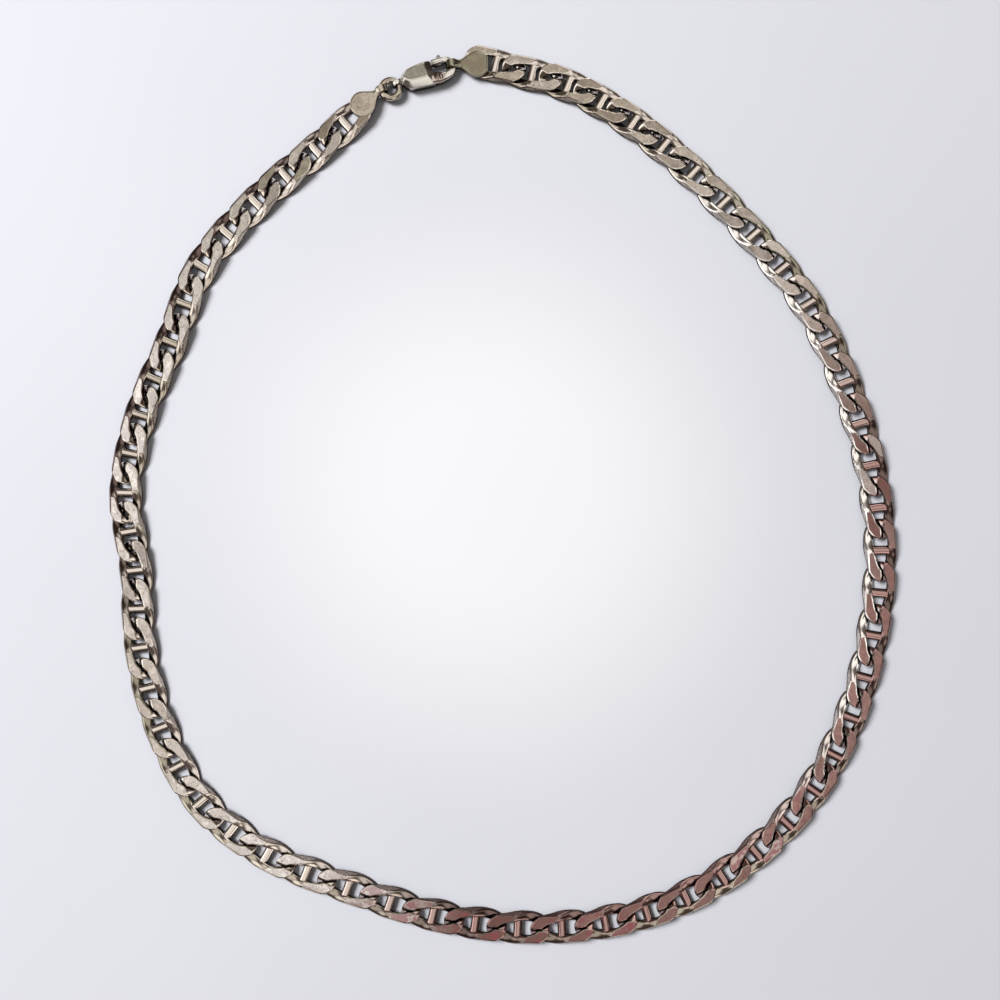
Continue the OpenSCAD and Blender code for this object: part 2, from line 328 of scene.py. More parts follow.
def inset_points(points, spine, depth):
    """Outline drawn in towards its spine, never past it."""
    start, end = spine
    along = end - start
    moved = []
    for p in points:
        share = min(1.0, max(0.0, (p - start).dot(along) / max(along.length_squared, 1e-9)))
        pull = start + along * share - p
        reach = pull.length
        moved.append(p + pull * (min(depth, 0.6 * reach) / reach if reach > 1e-6 else 0.0))
    return moved


def rim_face(bm, face, film, inset):
    """Gives a filed face a fine chamfer and a rubbed band, painted bright as rubbed metal and a highlight, with the
    film inside.
    """
    corners = list(face.verts)
    normal = face.normal.copy()
    points = [v.co.copy() for v in corners]
    spine = spine_of(points)
    loops = [corners]
    for depth in (RIM_W, inset):
        loops.append([bm.verts.new(p) for p in inset_points(points, spine, depth)])
    bmesh.ops.delete(bm, geom=[face], context="FACES_ONLY")
    for outer, inner in zip(loops, loops[1:]):
        for i in range(len(corners)):
            j = (i + 1) % len(corners)
            bm.faces.new((outer[i], outer[j], inner[j], inner[i]))
    bm.faces.new(loops[-1])
    for v in corners:
        v.co -= normal * RIM_DROP
    for v in loops[-1]:
        v[film] = 1.0 if normal.z > LOWEST_FILM else 0.0


def bar_sections():
    """Crossbar: a softly squared rod with flared, soldered ends."""
    half = LINK_W / 2 - SIDE_W / 2
    r = BAR_W / 2
    sections = []
    for y, grow in BAR_FLARE:
        row = []
        for i in range(ROD_SIDES):
            a = 2 * math.pi * (i + 0.5) / ROD_SIDES
            z = BAR_Z + BAR_HALF_T * math.sin(a)
            row.append(Vector((r * grow * math.cos(a), y * half, max(z, BAR_LOWEST_Z))))
        sections.append(row)
    return sections


def soft_step(low, high, value):
    """Smooth rise from 0 at low to 1 at high."""
    share = min(1.0, max(0.0, (value - low) / (high - low)))
    return share * share * (3 - 2 * share)


def paint(bm, seed, shade_top_z, shade_full_z, wall_share):
    """Writes what the silver materials read on fittings: tarnish and painted shade below a given height and on walls,
    and one seed per part.
    """
    tarnish_and_shade = bm.verts.layers.float["tarnish_and_shade"]
    number = bm.verts.layers.float["seed"]
    plate = bm.verts.layers.float["plate"]
    bm.normal_update()
    for v in bm.verts:
        # Painted shade with some tarnish: darker towards the floor, and on walls low down
        deep = 1 - soft_step(shade_full_z, shade_top_z, v.co.z)
        wall = 1 - soft_step(0.0, 0.55, v.normal.z)
        low = 1 - soft_step(shade_top_z - 0.1, shade_top_z + 0.5, v.co.z)
        v[tarnish_and_shade] = min(1.0, 0.8 * deep + wall_share * wall * low)
        v[number] = seed
        v[plate] = 1.0


def paint_link(bm, seed):
    """Tarnish and painted shade of a link: black on the walls round its openings, brown on its outer walls, darker low
    down, clean above.
    """
    tarnish_and_shade = bm.verts.layers.float["tarnish_and_shade"]
    number = bm.verts.layers.float["seed"]
    outer = bm.verts.layers.float["outer"]
    rod = bm.verts.layers.float["rod"]
    bm.normal_update()
    for v in bm.verts:
        # Painted shade over some tarnish: walls go dark round the openings and on the outer side, and all of the link
        # darkens near the floor
        wall = 1 - soft_step(0.2, 0.76, v.normal.z)
        low = 1 - soft_step(0.3, 1.0, v.co.z)
        faces_in = v.normal.x * v.co.x / LINK_L ** 2 + v.normal.y * v.co.y / LINK_W ** 2 < 0
        v[tarnish_and_shade] = min(1.0, wall * (INNER_WALL_TARNISH_AND_SHADE if faces_in else OUTER_WALL_TARNISH_AND_SHADE) + LOW_PAINTED_SHADE * low)
        v[number] = seed
        v[outer] = soft_step(-0.3, 0.3, v.co.y)
        # The bars and the link tips take the bars' tone, which holds a painted highlight besides tarnish
        beside_bar = (1 - soft_step(0.8, 1.1, abs(v.co.x))) * (1 - soft_step(1.5, 2.2, abs(v.co.y)))
        v[rod] = max(beside_bar, soft_step(*TIP_TONE_X, abs(v.co.x)))


def new_mesh():
    """Empty mesh with the layers that filing and painting use."""
    bm = bmesh.new()
    for name in ("tarnish_and_shade", "film", "seed", "outer", "rod", "plate"):
        bm.verts.layers.float.new(name)
    for name in ("half", "filed"):
        bm.faces.layers.int.new(name)
    return bm


def make_link(n):
    """One whole link at the origin, filed, with its bar; a little longer where the chain is stretched."""
    rng = random.Random(n + 1)
    bm = new_mesh()
    film = bm.verts.layers.float["film"]
    half = bm.faces.layers.int["half"]
    filed = bm.faces.layers.int["filed"]
    grow = 0.5 * (pitch_at(n) / EVEN_PITCH - 1)
    angles = [2 * math.pi * (i + 0.5) / STATIONS for i in range(STATIONS)]
    for t, row in zip(angles, loft(bm, [ring_section(t, grow) for t in angles], closed=True)):
        for f in row:
            f[half] = 1 if math.sin(t + math.pi / STATIONS) > 0 else 2
    bmesh.ops.recalc_face_normals(bm, faces=bm.faces)
    file_link(bm, rng)
    bmesh.ops.recalc_face_normals(bm, faces=bm.faces)
    for f in [f for f in bm.faces if f[filed] and f.calc_area() > SMALLEST_FACE and f.normal.z > LOOKS_UP]:
        rim_face(bm, f, film, FILM_INSET)
    loft(bm, bar_sections())
    bmesh.ops.scale(bm, vec=(1 + max(0.0, grow), 1, 1), verts=bm.verts)
    bmesh.ops.recalc_face_normals(bm, faces=bm.faces)
    paint_link(bm, rng.random())
    return bm


def add_to(bm, other, matrix):
    """Copies other into bm through a matrix."""
    mesh = bpy.data.meshes.new("part")
    other.to_mesh(mesh)
    other.free()
    mesh.transform(matrix)
    bm.from_mesh(mesh)
    bpy.data.meshes.remove(mesh)


def new_piece(name, bm, material, body, nodes):
    """Turns a mesh in millimetres into a piece that rides on a body and stands for CAD nodes."""
    mesh = bpy.data.meshes.new(name)
    bm.to_mesh(mesh)
    bm.free()
    mesh.transform(Matrix.Scale(MM, 4))
    mesh.materials.append(material)
    for polygon in mesh.polygons:
        polygon.use_smooth = True
    mesh.set_sharp_from_angle(angle=math.radians(35))
    piece = bpy.data.objects.new(name, mesh)
    bpy.context.scene.collection.objects.link(piece)
    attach(piece, body)
    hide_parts(*nodes)


def string_of_links(numbers):
    """Loose links in their places in the loop."""
    bm = bmesh.new()
    for n in numbers:
        add_to(bm, make_link(n), link_place(n))
    return bm


def shrink(outline, depth):
    """Anticlockwise outline moved in by depth along every edge."""
    count = len(outline)
    moved = []
    for i, p in enumerate(outline):
        a = (p - outline[i - 1]).normalized()
        b = (outline[(i + 1) % count] - p).normalized()
        mitre = Vector((-a.y - b.y, a.x + b.x))
        moved.append(p + mitre * (depth / max(mitre.length_squared * 0.5, 0.3)))
    return moved


def rounded(outline, radius, steps=5):
    """Outline with its corners eased."""
    made = []
    count = len(outline)
    for i, p in enumerate(outline):
        before, after = outline[i - 1] - p, outline[(i + 1) % count] - p
        r = min(radius, before.length * 0.45, after.length * 0.45)
        a, b = p + before.normalized() * r, p + after.normalized() * r
        for k in range(steps + 1):
            u = k / steps
            made.append(a * (1 - u) ** 2 + p * (2 * u * (1 - u)) + b * u * u)
    return made


def outline_of(pairs):
    """Outline as vectors."""
    return [Vector(p) for p in pairs]


def prism(bm, outline, layers):
    """Solid through copies of an outline. Each layer is a height and how far the outline is drawn in."""
    loft(bm, [[Vector((p.x, p.y, z)) for p in shrink(outline, depth)] for z, depth in layers])


def sweep(bm, stops, steps, power, ridges=()):
    """Bent rod through stops of x, y, width, underside and top. Ridges are places along it and how far they swell."""
    path = []
    for k in range(len(stops) - 1):
        near = [stops[max(0, min(len(stops) - 1, k + j))] for j in (-1, 0, 1, 2)]
        for i in range(steps):
            path.append([blend(near[0][c], near[1][c], near[2][c], near[3][c], i / steps) for c in range(5)])
    path.append(list(stops[-1]))
    sections = []
    for i, (x, y, width, low, high) in enumerate(path):
        ahead, behind = path[min(i + 1, len(path) - 1)], path[max(i - 1, 0)]
        side = Vector((behind[1] - ahead[1], ahead[0] - behind[0])).normalized()
        swell = 1 + sum(much * math.exp(-((i / steps - where) / RIDGE_REACH) ** 2) for where, much in ridges)
        row = []
        for q in range(ROD_SIDES):
            a = 2 * math.pi * (q + 0.5) / ROD_SIDES
            across = width / 2 * swell * power_of(math.cos(a), 2 / power)
            up = (high - low) / 2 * swell * power_of(math.sin(a), 2 / power)
            row.append(Vector((x + side.x * across, y + side.y * across, (low + high) / 2 + up)))
        sections.append(row)
    loft(bm, sections)


def ease_edges(bm, width, keep):
    """Rounds the sharp edges that keep allows."""
    bmesh.ops.recalc_face_normals(bm, faces=bm.faces)
    edges = [e for e in bm.edges if e.is_manifold and e.calc_face_angle() > math.radians(18) and keep(e)]
    bmesh.ops.bevel(bm, geom=edges, offset=width, segments=3, affect="EDGES", profile=0.6, clamp_overlap=True)


def film_on_top(bm, height):
    """Worn rim, painted bright as rubbed metal and a highlight, and film on the flat faces that look up from above a
    height.
    """
    film = bm.verts.layers.float["film"]
    for f in [f for f in bm.faces if f.normal.z > 0.97 and f.calc_center_median().z > height and f.calc_area() > 1]:
        rim_face(bm, f, film, PLATE_INSET)


def add_eye(bm, at, turn, width, toward, slit):
    """Rolled eye: a strip curled on edge about a bore, its end left a little short of the plate by the slit angle."""
    mid_r = (EYE_OUT_R + EYE_IN_R) / 2
    half_t = (EYE_OUT_R - EYE_IN_R) / 2
    corners = [
        (-1, -1, 1, 0), (1, -1, -1, 0), (1, -1, 0, 1), (1, 1, 0, -1),
        (1, 1, -1, 0), (-1, 1, 1, 0), (-1, 1, 0, -1), (-1, -1, 0, 1),
    ]
    shape = [(sx * width / 2 + ex * EYE_EASE, sz * half_t + ez * EYE_EASE) for sx, sz, ex, ez in corners]
    spaces = EYE_STATIONS - 1 if slit else EYE_STATIONS
    sections = []
    for i in range(EYE_STATIONS):
        a = (2 * math.pi - slit) * i / spaces
        row = []
        for across, lift in shape:
            r = mid_r + lift
            local = Vector((toward * r * math.cos(a), across, EYE_Z + r * math.sin(a)))
            turned = Matrix.Rotation(turn, 3, "Z") @ local
            row.append(Vector((at.x + turned.x, at.y + turned.y, turned.z)))
        sections.append(row)
    loft(bm, sections, closed=not slit)


def tab_outline(length, end_w, blunt):
    """Teardrop: a round end at the origin, cut off at x = blunt, and a neck that runs along -X."""
    start = math.acos(TAB_SHOULDER)
    points = []
    for i in range(TAB_STATIONS + 1):
        a = start * (2 * i / TAB_STATIONS - 1)
        points.append(Vector((min(blunt, TAB_R * math.cos(a)), TAB_R * math.sin(a))))
    flank = []
    from_x, to_x = points[-1].x, -0.88 * length
    for i in range(1, FLANK_STEPS + 1):
        u = i / FLANK_STEPS
        drop = (1 - NECK_BEND) * u + NECK_BEND * soft_step(0, 1, u)
        flank.append(Vector((from_x + (to_x - from_x) * u, points[-1].y + (NECK_HALF_W - points[-1].y) * drop)))
    flank.append(Vector((-length, end_w / 2)))
    return points + flank + [Vector((v.x, -v.y)) for v in reversed(flank)]


def add_tab(bm, disc_at, eye_at, eye_turn, eye_w, toward, blunt, seed):
    """Teardrop plate with a worn bevel, and its rolled eye, whose strip starts on the side toward (1 or -1)."""
    pull = disc_at - eye_at
    plate = new_mesh()
    film = plate.verts.layers.float["film"]
    top = TAB_Z + TAB_T
    layers = [(TAB_Z, 0.12), (TAB_Z + 0.12, 0.0), (top - 0.2, 0.0), (top - 0.06, 0.06), (top, 0.2)]
    outline = tab_outline(pull.length - (EYE_OUT_R + EYE_IN_R) / 2, eye_w, blunt)
    prism(plate, outline, layers)
    bmesh.ops.recalc_face_normals(plate, faces=plate.faces)
    for f in [f for f in plate.faces if len(f.verts) > 8 and f.calc_center_median().z > top - 0.01]:
        rim_face(plate, f, film, PLATE_INSET)
    reach = -pull.length
    sweep(plate, [(reach + x, 0, eye_w, low, high) for x, low, high in EYE_RAMP], 5, 4.0)
    bmesh.ops.recalc_face_normals(plate, faces=plate.faces)
    paint(plate, seed, shade_top_z=1.5, shade_full_z=0.8, wall_share=0.7)
    place = Matrix.Translation((disc_at.x, disc_at.y, 0)) @ Matrix.Rotation(math.atan2(pull.y, pull.x), 4, "Z")
    add_to(bm, plate, place)
    eye = new_mesh()
    add_eye(eye, eye_at, eye_turn, eye_w, toward, EYE_SLIT)
    bmesh.ops.recalc_face_normals(eye, faces=eye.faces)
    paint(eye, 0.52, shade_top_z=1.9, shade_full_z=0.9, wall_share=0.5)
    add_to(bm, eye, Matrix.Identity(4))


def end_link(n, disc_at, eye_at, **tab):
    """First or last link with its tab. Points are given before the loop's middle goes to the origin."""
    bm = new_mesh()
    add_to(bm, make_link(n), link_place(n))
    middle = LOOP_MIDDLE.xy
    add_tab(bm, disc_at - middle, eye_at - middle, **tab)
    return bm


def jump_ring():
    """Wire ring, closed but not soldered: its two ends meet at a fine seam."""
    bm = new_mesh()
    at = RING_AT - LOOP_MIDDLE
    sections = []
    for i in range(RING_STATIONS):
        a = RING_SEAM_AT + RING_SEAM + (2 * math.pi - 2 * RING_SEAM) * i / (RING_STATIONS - 1)
        row = []
        for q in range(ROD_SIDES):
            b = 2 * math.pi * q / ROD_SIDES
            r = RING_R + RING_WIRE / 2 * math.cos(b)
            row.append(Vector((at.x + r * math.cos(a), at.y + r * math.sin(a), at.z + RING_WIRE / 2 * math.sin(b))))
        sections.append(row)
    loft(bm, sections)
    bmesh.ops.recalc_face_normals(bm, faces=bm.faces)
    paint(bm, 0.2, shade_top_z=1.75, shade_full_z=0.95, wall_share=0.5)
    return bm


def body_slab(bm, layers):
    """Part of the clasp body between two heights; each layer is a height and an outline."""
    loft(bm, [[Vector((p.x, p.y, z)) for p in outline] for z, outline in layers])


def off_the_slot(edge):
    """False for an edge that lies flush in the floor or the roof of the lever's slot."""
    return not all(min(abs(v.co.z - z) for z in SLOT_Z) < 0.001 for v in edge.verts)


def clasp_body():
    """Gem-cut body with a slot for the lever, the fixed hook with its ridges, and the tail eye."""
    bm = new_mesh()
    low, high = SLOT_Z
    girdle = rounded(outline_of(BODY_GIRDLE), GIRDLE_ROUND)
    crown = rounded(outline_of(BODY_TOP), CROWN_ROUND)
    notched = outline_of(BODY_NOTCHED)
    body_slab(bm, [(BODY_FOOT, shrink(girdle, 0.3)), (BODY_LOW_Z, girdle), (low, girdle)])
    body_slab(bm, [(low, notched), (high, notched)])
    body_slab(bm, [(high, girdle), (BODY_HIGH_Z, girdle), (CROWN_Z, crown)])
    ease_edges(bm, BODY_BEVEL, off_the_slot)
    film_on_top(bm, CROWN_Z - 0.1)
    sweep(bm, HOOK_STOPS, 10, 3.2, HOOK_RIDGES)
    eye = new_mesh()
    add_eye(eye, Vector(TAIL_AT), TAIL_TURN, TAIL_W, toward=1, slit=0)
    add_to(bm, eye, Matrix.Identity(4))
    sweep(bm, TAIL_STOPS, 4, 4.0)
    bmesh.ops.recalc_face_normals(bm, faces=bm.faces)
    paint(bm, 0.6, shade_top_z=2.3, shade_full_z=0.9, wall_share=0.6)
    return bm


def circle(middle, radius, count=40):
    """Round outline about a point."""
    angles = [2 * math.pi * i / count for i in range(count)]
    return [middle + Vector((math.cos(a), math.sin(a))) * radius for a in angles]


def lever():
    """Root disc on the pin, a neck, the gate bar and a pointed nub for the thumb."""
    bm = new_mesh()
    low, high = LEVER_ROOT_Z
    layers = [(low, 0.05), (low + 0.05, 0), (high - 0.05, 0), (high, 0.05)]
    prism(bm, circle(PIVOT, LEVER_ROOT_R), layers)
    prism(bm, rounded(outline_of(LEVER_NECK), 0.15), layers)
    sweep(bm, LEVER_BAR, 6, 4.0)
    sweep(bm, LEVER_LIP, 6, 3.0)
    nub = rounded(outline_of(LEVER_NUB), 0.2)
    prism(bm, nub, [(low, 0.12), (low + 0.15, 0), (high - 0.15, 0), (high, 0.12)])
    bmesh.ops.recalc_face_normals(bm, faces=bm.faces)
    paint(bm, 0.8, shade_top_z=2.0, shade_full_z=0.9, wall_share=0.5)
    return bm


def pin():
    """Rivet that the lever turns on, its domed foot just proud of the body."""
    bm = new_mesh()
    prism(bm, circle(PIVOT, PIN_R), [(0.0, 0.14), (0.03, 0.05), (0.08, 0.0), (PIN_TOP, 0.0)])
    bmesh.ops.recalc_face_normals(bm, faces=bm.faces)
    paint(bm, 0.5, shade_top_z=0.3, shade_full_z=0.0, wall_share=0.2)
    return bm


def in_clasp_frame(bm):
    """Moves a mesh drawn in the clasp's frame to its place in the loop."""
    place = Matrix.Translation(CLASP_AT - LOOP_MIDDLE) @ Matrix.Rotation(CLASP_TURN, 4, "Z")
    bmesh.ops.transform(bm, matrix=place, verts=bm.verts)
    return bm


class Tree:
    """Short way to lay out a node tree."""

    def __init__(self, tree):
        self.tree = tree
        tree.nodes.clear()

    def node(self, kind, values=None, **options):
        made = self.tree.nodes.new(kind)
        for key, value in options.items():
            setattr(made, key, value)
        for key, value in (values or {}).items():
            if isinstance(value, bpy.types.NodeSocket):
                self.tree.links.new(value, made.inputs[key])
            else:
                made.inputs[key].default_value = value
        return made

    def math(self, operation, a, b=0.0):
        return self.node("ShaderNodeMath", {0: a, 1: b}, operation=operation).outputs[0]

    def layer(self, name):
        """One number per point, from the mesh."""
        return self.node("ShaderNodeAttribute", attribute_name=name).outputs["Fac"]

    def scaled(self, vector, share):
        return self.node("ShaderNodeVectorMath", {0: vector, "Scale": share}, operation="SCALE").outputs[0]

    def along(self, vector, towards):
        return self.node("ShaderNodeVectorMath", {0: vector, 1: towards}, operation="DOT_PRODUCT").outputs["Value"]

    def total(self, a, b):
        return self.node("ShaderNodeVectorMath", {0: a, 1: b}, operation="ADD").outputs[0]

    def mix(self, share, a, b):
        """Colour a, or b where the share is 1."""
        made = self.node("ShaderNodeMix", data_type="RGBA")
        for key, value in (("Factor_Float", share), ("A_Color", a), ("B_Color", b)):
            socket = next(s for s in made.inputs if s.identifier == key)
            if isinstance(value, bpy.types.NodeSocket):
                self.tree.links.new(value, socket)
            else:
                socket.default_value = value
        return next(s for s in made.outputs if s.identifier == "Result_Color")

    def smooth(self, value, low, high, to_low=0.0, to_high=1.0):
        """Smooth change from to_low, where the value is low, to to_high."""
        made = self.node("ShaderNodeMapRange", {"Value": value, "From Min": low, "From Max": high,
                                                "To Min": to_low, "To Max": to_high})
        made.interpolation_type = "SMOOTHSTEP"
        return made.outputs["Result"]

    def noise(self, vector, scale, detail, roughness):
        return self.node("ShaderNodeTexNoise", {"Vector": vector, "Scale": scale, "Detail": detail,
                                                "Roughness": roughness}).outputs[0]


# Metals, stains, and the brown and black of painted shade as scene colours
BRIGHT_SILVER = (0.93, 0.91, 0.87, 1)
OLIVE_FILM = (0.31, 0.31, 0.255, 1)
GREY_SILVER = (0.66, 0.64, 0.58, 1)
RED_STAIN_AND_REFLECTION = (0.27, 0.065, 0.09, 1)
# Brown and black: tarnish and painted shade in recesses and low down; the brown also stains the worn flats
BROWN_TARNISH_AND_SHADE = (0.13, 0.085, 0.068, 1)
BLACK_TARNISH_AND_SHADE = (0.010, 0.007, 0.007, 1)

# Stains of the clasp: middle in metres, where they are full and where they end, colour, share
CLASP_STAINS = [
    ((-0.0129, 0.0832, 0.0015), (0.0011, 0.0021), (0.30, 0.20, 0.155, 1), 0.85),
    ((-0.0146, 0.0853, 0.0026), (0.0006, 0.0016), (0.11, 0.085, 0.07, 1), 0.8),
    ((-0.0129, 0.0874, 0.0018), (0.0003, 0.0008), (0.10, 0.095, 0.075, 1), 0.85),
]

# Patterns of the silver: scale, detail and roughness of each noise, and the noise values where a pattern begins and
# is full, with the share that it then has
BLOTCHES = (700.0, 5.0, 0.6)
GRAIN = (3600.0, 3.0, 0.6)
SPECKLES = (1900.0, 2.0, 0.7)
SCRATCHES = (1.0, 2.0, 0.5)
SCRATCH_STRETCH = (900.0, 14000.0, 900.0)
SCRATCH_TURN = 0.6
WORN = (0.42, 0.62)
WORN_SHARE = 0.55
WORN_BROWN = 0.6
SPECKLED = (0.56, 0.66)
SPECKLE_SHARE = 0.42
RED_TOWARDS = (0.22, -0.97, 0.0)
RED_NEAR = (0.78, 0.92)
RED_BLOTCH = (0.58, 0.68)
RED_SHARE = 0.6
# Levels of the tarnish and painted shade where brown and where black begin and are full
BROWN_FROM = (0.14, 0.42)
BLACK_FROM = (0.48, 0.82)
BROWN_SHINE = 0.25
RUBBED_WIRE = 0.04
RIM_HIGHLIGHT_GAMMA = 0.7
POLISH = (0.11, 0.20)
FILM_DULLS = 0.08
BROWN_DULLS = 0.16
RELIEF = 0.00003

# Rivet
STEEL_GRAIN = (5200.0, 3.0, 0.6)
LIGHT_STEEL = (0.42, 0.41, 0.40, 1)
DARK_STEEL = (0.24, 0.22, 0.20, 1)

# Floor, in metres and scene colours
FLOOR_SIDE = 3.0
FLOOR_CLOUDS = (9.0, 3.0, 0.5)
FLOOR_DARKER = (0.415, 0.418, 0.455, 1)
FLOOR_LIGHTER = (0.455, 0.458, 0.495, 1)
FLOOR_PAINTED_LIGHT = (0.545, 0.545, 0.56, 1)
MIDDLE_REACH = (0.015, 0.07)
MIDDLE_SHARE = 0.9

# The room that the silver mirrors: azimuth and elevation of each soft patch, its inner and outer radius, colour and
# strength; then a bright ring high up (elevations where it begins and where it ends), and what the rest gives
ROOM_PATCHES = [
    (190, 31, 12, 24, (1.0, 1.0, 1.0), 1.9),
    (0, 34, 6, 18, (1.0, 0.98, 0.95), 1.5),
    (-66, 28, 7, 18, (1.0, 0.94, 0.88), 1.8),
    (80, 28, 7, 18, (1.0, 1.0, 0.96), 1.8),
]
RING_LIGHT = 1.05
RING_FROM = (47, 58)
RING_TO = (77, 85)
RING_COLOUR = (1.0, 0.985, 0.96)
ROOM_DARK = (0.115, 0.09, 0.078)
FLOOR_SHARE = 0.5
BACKDROP = (0.80, 0.80, 0.83, 1)

# Soft light that lights the floor and throws the shadows
SOFTBOX_AT = (-0.68, 0.36, 0.88)
SOFTBOX_SIDE = 0.45
SOFTBOX_WATTS = 26.0

# Seven tones of worn silver in sRGB, which also carry painted reflection and painted shade
PALE = (245, 240, 235)
CREAM = (215, 205, 195)
SAND = (180, 170, 155)
OLIVE = (140, 135, 115)
ROSE = (160, 125, 120)
MAROON = (110, 75, 70)
UMBER = (90, 70, 65)

# How the tone changes round the loop (azimuth in degrees, the clasp is near 95), tarnish together with painted
# reflection and painted light and shade: the tone of the filed flats, of the wire on the outer and on the inner side
# of the links, and of the bars
PLACES = [
    (-180, PALE, UMBER, SAND, CREAM),
    (-150, CREAM, OLIVE, CREAM, CREAM),
    (-120, PALE, SAND, CREAM, CREAM),
    (-95, MAROON, UMBER, UMBER, ROSE),
    (-60, ROSE, SAND, ROSE, ROSE),
    (-30, ROSE, UMBER, PALE, ROSE),
    (5, MAROON, UMBER, PALE, ROSE),
    (45, CREAM, OLIVE, PALE, CREAM),
    (75, SAND, CREAM, SAND, CREAM),
    (100, SAND, CREAM, SAND, CREAM),
    (125, OLIVE, UMBER, CREAM, CREAM),
    (160, PALE, UMBER, SAND, SAND),
    (180, PALE, UMBER, SAND, CREAM),
]
FLATS = 1
WIRE_OUTSIDE = 2
WIRE_INSIDE = 3
RODS = 4

# Which seeds make a link's flats brighter or duller, and by what share; where one tab ends and the other begins
BRIGHT_LINKS = (0.7, 0.95, 0.0, 0.4)
DULL_LINKS = (0.35, 0.05, 0.0, 0.4)
RIGHT_TAB_TO = 98
LEFT_TAB_FROM = 107


def linear(colour):
    """Scene colour of an sRGB colour from 0 to 255."""
    return [((c / 255 + 0.055) / 1.055) ** 2.4 if c > 10 else c / 255 / 12.92 for c in colour] + [1.0]


def tone_ramp(t, around, column):
    """Colour that changes with the place round the loop."""
    node = t.node("ShaderNodeValToRGB", {"Fac": around})
    elements = node.color_ramp.elements
    elements[0].color = linear(PLACES[0][column])
    elements[-1].color = linear(PLACES[-1][column])
    for place in PLACES[1:-1]:
        elements.new(place[0] / 360 + 0.5).color = linear(place[column])
    return node.outputs["Color"]


def chain_tones(t, where, seed):
    """Tones of the flats and of the round wire at a place in the loop, brighter or duller from link to link; they hold
    painted reflection and painted shade as well as tarnish.
    """
    parts = t.node("ShaderNodeSeparateXYZ", {0: where}).outputs
    around = t.math("ADD", t.math("DIVIDE", t.math("ARCTAN2", parts["Y"], parts["X"]), 2 * math.pi), 0.5)
    flat = tone_ramp(t, around, FLATS)
    flat = t.mix(t.smooth(seed, *BRIGHT_LINKS), flat, linear(PALE))
    flat = t.mix(t.smooth(seed, *DULL_LINKS), flat, linear(UMBER))
    wire = t.mix(t.layer("outer"), tone_ramp(t, around, WIRE_INSIDE), tone_ramp(t, around, WIRE_OUTSIDE))
    wire = t.mix(t.layer("rod"), wire, tone_ramp(t, around, RODS))
    left_tab = t.smooth(around, RIGHT_TAB_TO / 360 + 0.5, LEFT_TAB_FROM / 360 + 0.5)
    tab = t.mix(left_tab, linear(OLIVE), linear(SAND))
    plate = t.layer("plate")
    return t.mix(plate, flat, tab), t.mix(plate, wire, tab)


def clasp_tones(t, where, seed):
    """Tones of the clasp: olive film on its flats, and brown stains at three places. The seed has no part in them."""
    flat, wire = OLIVE_FILM, GREY_SILVER
    for place, reach, colour, share in CLASP_STAINS:
        far = t.node("ShaderNodeVectorMath", {0: where, 1: place}, operation="DISTANCE").outputs["Value"]
        stained = t.smooth(far, *reach, share, 0.0)
        flat = t.mix(stained, flat, colour)
        wire = t.mix(stained, wire, colour)
    return flat, wire


def red_share(t, where, film, blotch, seed):
    """Red on the flats of the part of the loop that lies towards RED_TOWARDS: rose tarnish and a painted pink
    reflection.
    """
    unit = t.node("ShaderNodeVectorMath", {0: where}, operation="NORMALIZE").outputs[0]
    near = t.smooth(t.along(unit, RED_TOWARDS), *RED_NEAR)
    patchy = t.smooth(t.math("ADD", blotch, t.math("MULTIPLY", seed, 0.2)), *RED_BLOTCH)
    return t.math("MULTIPLY", t.math("MULTIPLY", t.math("MULTIPLY", near, patchy), film), RED_SHARE)


def clean_metal(t, where, tones):
    """Colour above the recesses: film with wear and speckles on the flats, rubbed bright with a painted highlight at
    their rims.
    """
    film = t.layer("film")
    seed = t.layer("seed")
    blotch = t.noise(where, *BLOTCHES)
    flat_tone, wire_tone = tones(t, where, seed)
    worn = t.smooth(t.math("ADD", blotch, t.math("MULTIPLY", seed, 0.12)), *WORN)
    browned = t.mix(WORN_BROWN, flat_tone, BROWN_TARNISH_AND_SHADE)
    flat_metal = t.mix(t.math("MULTIPLY", worn, WORN_SHARE), flat_tone, browned)
    speckled = t.math("MULTIPLY", t.smooth(t.noise(where, *SPECKLES), *SPECKLED), SPECKLE_SHARE)
    flat_metal = t.mix(speckled, flat_metal, BROWN_TARNISH_AND_SHADE)
    metal = t.mix(film, t.mix(RUBBED_WIRE, wire_tone, BRIGHT_SILVER), flat_metal)
    # Painted highlight over rubbed metal on the rims: the flat's tone raised by a gamma
    rim = t.math("MULTIPLY", t.smooth(film, 0.0, 0.3), t.smooth(film, 0.9, 0.4))
    metal = t.mix(rim, metal, t.node("ShaderNodeGamma", {"Color": flat_tone, "Gamma": RIM_HIGHLIGHT_GAMMA}).outputs[0])
    # Red here is rose tarnish and a painted pink reflection
    return t.mix(red_share(t, where, film, blotch, seed), metal, RED_STAIN_AND_REFLECTION)


def silver_relief(t, where, grain):
    """Fine scratches and grain."""
    stretched = t.node("ShaderNodeMapping", {"Vector": where, "Rotation": (0.0, 0.0, SCRATCH_TURN),
                                             "Scale": SCRATCH_STRETCH}).outputs[0]
    scratch = t.noise(stretched, *SCRATCHES)
    height = t.math("ADD", t.math("MULTIPLY", scratch, 0.5), t.math("MULTIPLY", grain, 0.8))
    return t.node("ShaderNodeBump", {"Strength": 0.16, "Distance": RELIEF, "Height": height}).outputs[0]


def new_material(name):
    """Material with an empty node tree, the tree, and the place in metres that its patterns are laid out on."""
    material = bpy.data.materials.new(name)
    material.use_nodes = True
    t = Tree(material.node_tree)
    return material, t, t.node("ShaderNodeTexCoord").outputs["Object"]


def finish_material(t, values):
    """Gives a node tree its shader and output."""
    shader = t.node("ShaderNodeBsdfPrincipled", values)
    t.node("ShaderNodeOutputMaterial", {"Surface": shader.outputs[0]})


